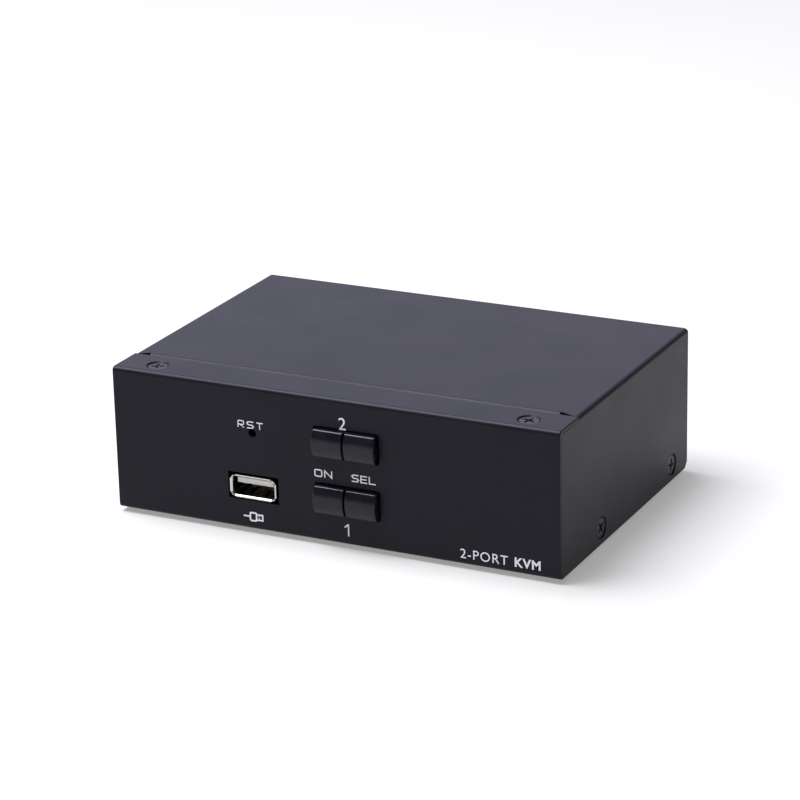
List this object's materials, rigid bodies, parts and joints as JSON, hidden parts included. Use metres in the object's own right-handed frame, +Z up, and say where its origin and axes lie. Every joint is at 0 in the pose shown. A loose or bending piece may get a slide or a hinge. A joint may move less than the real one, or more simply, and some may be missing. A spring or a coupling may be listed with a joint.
{
  "type": "kvm switch",
  "caption": "Low black steel box that switches a keyboard, mouse and screen between computers, with split push buttons on its front.",
  "frame": {"origin": "on the floor, under the middle of the whole box's bounding box", "axes": "+X to the right along the front panel, +Y from the front panel to the rear, +Z up"},
  "size_m": [0.13, 0.0912, 0.0415],
  "materials": {
    "black_powder_coat": "fine satin black powder coat with a slight violet cast",
    "black_screw": "black-coated countersunk steel",
    "foot_rubber": "matt black rubber",
    "plated_steel": "bright zinc-plated steel",
    "board_laminate": "green solder mask on glass laminate",
    "socket_shell_plate": "bright nickel-plated sheet",
    "socket_black_plastic": "black moulded socket plastic",
    "tongue_pale_plastic": "pale moulded plastic",
    "contact_gold": "thin gold-coloured plating",
    "switch_plastic": "moulded switch plastic",
    "lamp_lens": "clear green-tinted lamp lens",
    "button_gloss_black": "high-gloss smoked black plastic",
    "chip_resin": "black moulding resin",
    "can_aluminium": "bare aluminium can",
    "printed_marks": "pale grey screen-printed ink"
  },
  "bodies": {
    "case": {"chassis": "black_powder_coat", "cover": "black_powder_coat", "top_screws": "black_screw", "side_screws": "black_screw", "feet": "foot_rubber", "tray_standoffs": "plated_steel", "board_spacers": "plated_steel", "board_screws": "plated_steel", "lower_board": "board_laminate", "upper_board": "board_laminate", "reset_switch": "switch_plastic", "power_jack_body": "socket_black_plastic", "power_jack_pin": "socket_shell_plate", "header_socket": "socket_black_plastic", "header_strip": "socket_black_plastic", "header_pins": "contact_gold", "video_switch_chip": "chip_resin", "usb_hub_chip": "chip_resin", "controller_chip": "chip_resin", "regulator": "chip_resin", "crystal": "plated_steel", "filter_capacitors": "can_aluminium", "port_1_switch_base": "switch_plastic", "port_1_lamps": "lamp_lens", "port_1_host_shell": "socket_shell_plate", "port_1_host_insert": "socket_black_plastic", "port_1_host_contacts": "contact_gold", "port_2_switch_base": "switch_plastic", "port_2_lamps": "lamp_lens", "port_2_host_shell": "socket_shell_plate", "port_2_host_insert": "socket_black_plastic", "port_2_host_contacts": "contact_gold", "front_usb_shell": "socket_shell_plate", "front_usb_tongue": "tongue_pale_plastic", "front_usb_contacts": "contact_gold", "keyboard_usb_shell": "socket_shell_plate", "keyboard_usb_tongue": "tongue_pale_plastic", "keyboard_usb_contacts": "contact_gold", "mouse_usb_shell": "socket_shell_plate", "mouse_usb_tongue": "tongue_pale_plastic", "mouse_usb_contacts": "contact_gold", "port_1_video_shell": "socket_shell_plate", "port_1_video_tongue": "socket_black_plastic", "port_1_video_contacts": "contact_gold", "port_2_video_shell": "socket_shell_plate", "port_2_video_tongue": "socket_black_plastic", "port_2_video_contacts": "contact_gold", "screen_video_shell": "socket_shell_plate", "screen_video_tongue": "socket_black_plastic", "screen_video_contacts": "contact_gold"},
    "port_1_button": {"port_1_button_cap": "button_gloss_black", "port_1_switch_stem": "switch_plastic"},
    "port_2_button": {"port_2_button_cap": "button_gloss_black", "port_2_switch_stem": "switch_plastic"},
    "reset_button": {"reset_plunger": "switch_plastic"}
  },
  "joints": [
    {"name": "port_1_button_press", "type": "slide", "parent": "case", "child": "port_1_button", "axis": [0, 1, 0], "range_m": [0, 0.0005], "stiffness_N_per_m": 1000, "springref_m": -0.0008},
    {"name": "port_2_button_press", "type": "slide", "parent": "case", "child": "port_2_button", "axis": [0, 1, 0], "range_m": [0, 0.0005], "stiffness_N_per_m": 1000, "springref_m": -0.0008},
    {"name": "reset_press", "type": "slide", "parent": "case", "child": "reset_button", "axis": [0, 1, 0], "range_m": [0, 0.0003], "stiffness_N_per_m": 1000, "springref_m": -0.0008}
  ]
}
